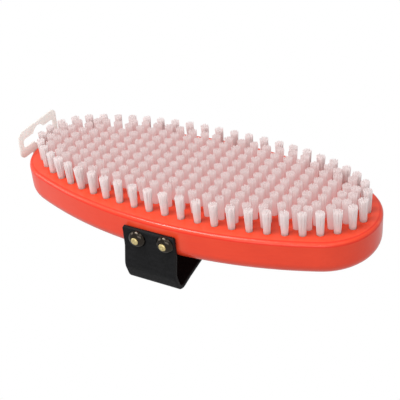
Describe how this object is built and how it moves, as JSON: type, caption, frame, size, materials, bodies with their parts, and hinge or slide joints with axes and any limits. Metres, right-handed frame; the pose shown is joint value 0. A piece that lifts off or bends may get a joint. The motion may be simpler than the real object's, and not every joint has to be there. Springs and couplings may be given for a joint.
{
  "type": "oval hand brush",
  "caption": "Oval lacquered wooden hand brush with short white nylon bristle tufts, a black hand strap nailed over its back and a folding plastic hang tab.",
  "frame": {"origin": "centre of the flat palm face of the wooden back, midway between the two nailed sides", "axes": "+Z towards the bristle tips, +X along the brush away from the hang tab, +Y across the brush"},
  "size_m": [0.1864, 0.0898, 0.0486],
  "materials": {
    "lacquered_wood": "sprayed orange-red lacquer, satin gloss, over close-grained beech",
    "nylon_bristle": "translucent natural white nylon filament",
    "anchor_wire": "drawn flat wire",
    "strap_leather": "black fine-grain leather, satin",
    "black_nickel": "black-nickel plated steel, polished",
    "brass_nail": "brass plated, lightly tarnished",
    "tab_plastic": "natural translucent polypropylene, frosted",
    "steel_tack": "zinc-plated steel"
  },
  "bodies": {
    "root": {"brush_back": "lacquered_wood", "tuft_row_1": "nylon_bristle", "tuft_row_2": "nylon_bristle", "tuft_row_3": "nylon_bristle", "tuft_row_4": "nylon_bristle", "tuft_row_5": "nylon_bristle", "tuft_row_6": "nylon_bristle", "tuft_row_7": "nylon_bristle", "tuft_row_8": "nylon_bristle", "tuft_row_9": "nylon_bristle", "tuft_ring": "nylon_bristle", "tuft_fillers": "nylon_bristle", "anchor_row_1": "anchor_wire", "anchor_row_2": "anchor_wire", "anchor_row_3": "anchor_wire", "anchor_row_4": "anchor_wire", "anchor_row_5": "anchor_wire", "anchor_row_6": "anchor_wire", "anchor_row_7": "anchor_wire", "anchor_row_8": "anchor_wire", "anchor_row_9": "anchor_wire", "anchor_ring": "anchor_wire", "anchor_fillers": "anchor_wire", "cup_washer_front_left": "black_nickel", "cup_washer_front_right": "black_nickel", "cup_washer_rear_left": "black_nickel", "cup_washer_rear_right": "black_nickel", "strap_nail_front_left": "brass_nail", "strap_nail_front_right": "brass_nail", "strap_nail_rear_left": "brass_nail", "strap_nail_rear_right": "brass_nail", "hang_tab_stem": "tab_plastic", "tab_tack_front": "steel_tack", "tab_tack_rear": "steel_tack"},
    "strap": {"hand_strap": "strap_leather"},
    "hang_tab": {"hang_tab_head": "tab_plastic"}
  },
  "joints": [
    {"name": "strap_press", "type": "slide", "parent": "root", "child": "strap", "axis": [0, 0, 1], "range_m": [0, 0.009], "stiffness_N_per_m": 800, "springref_m": -0.0035, "deforming": ["hand_strap"]},
    {"name": "tab_fold", "type": "hinge", "parent": "root", "child": "hang_tab", "pos_m": [-0.0929, 0, 0.01605], "axis": [0, 1, 0], "range_deg": [-90, 10], "stiffness_Nm_per_rad": 0.01}
  ]
}
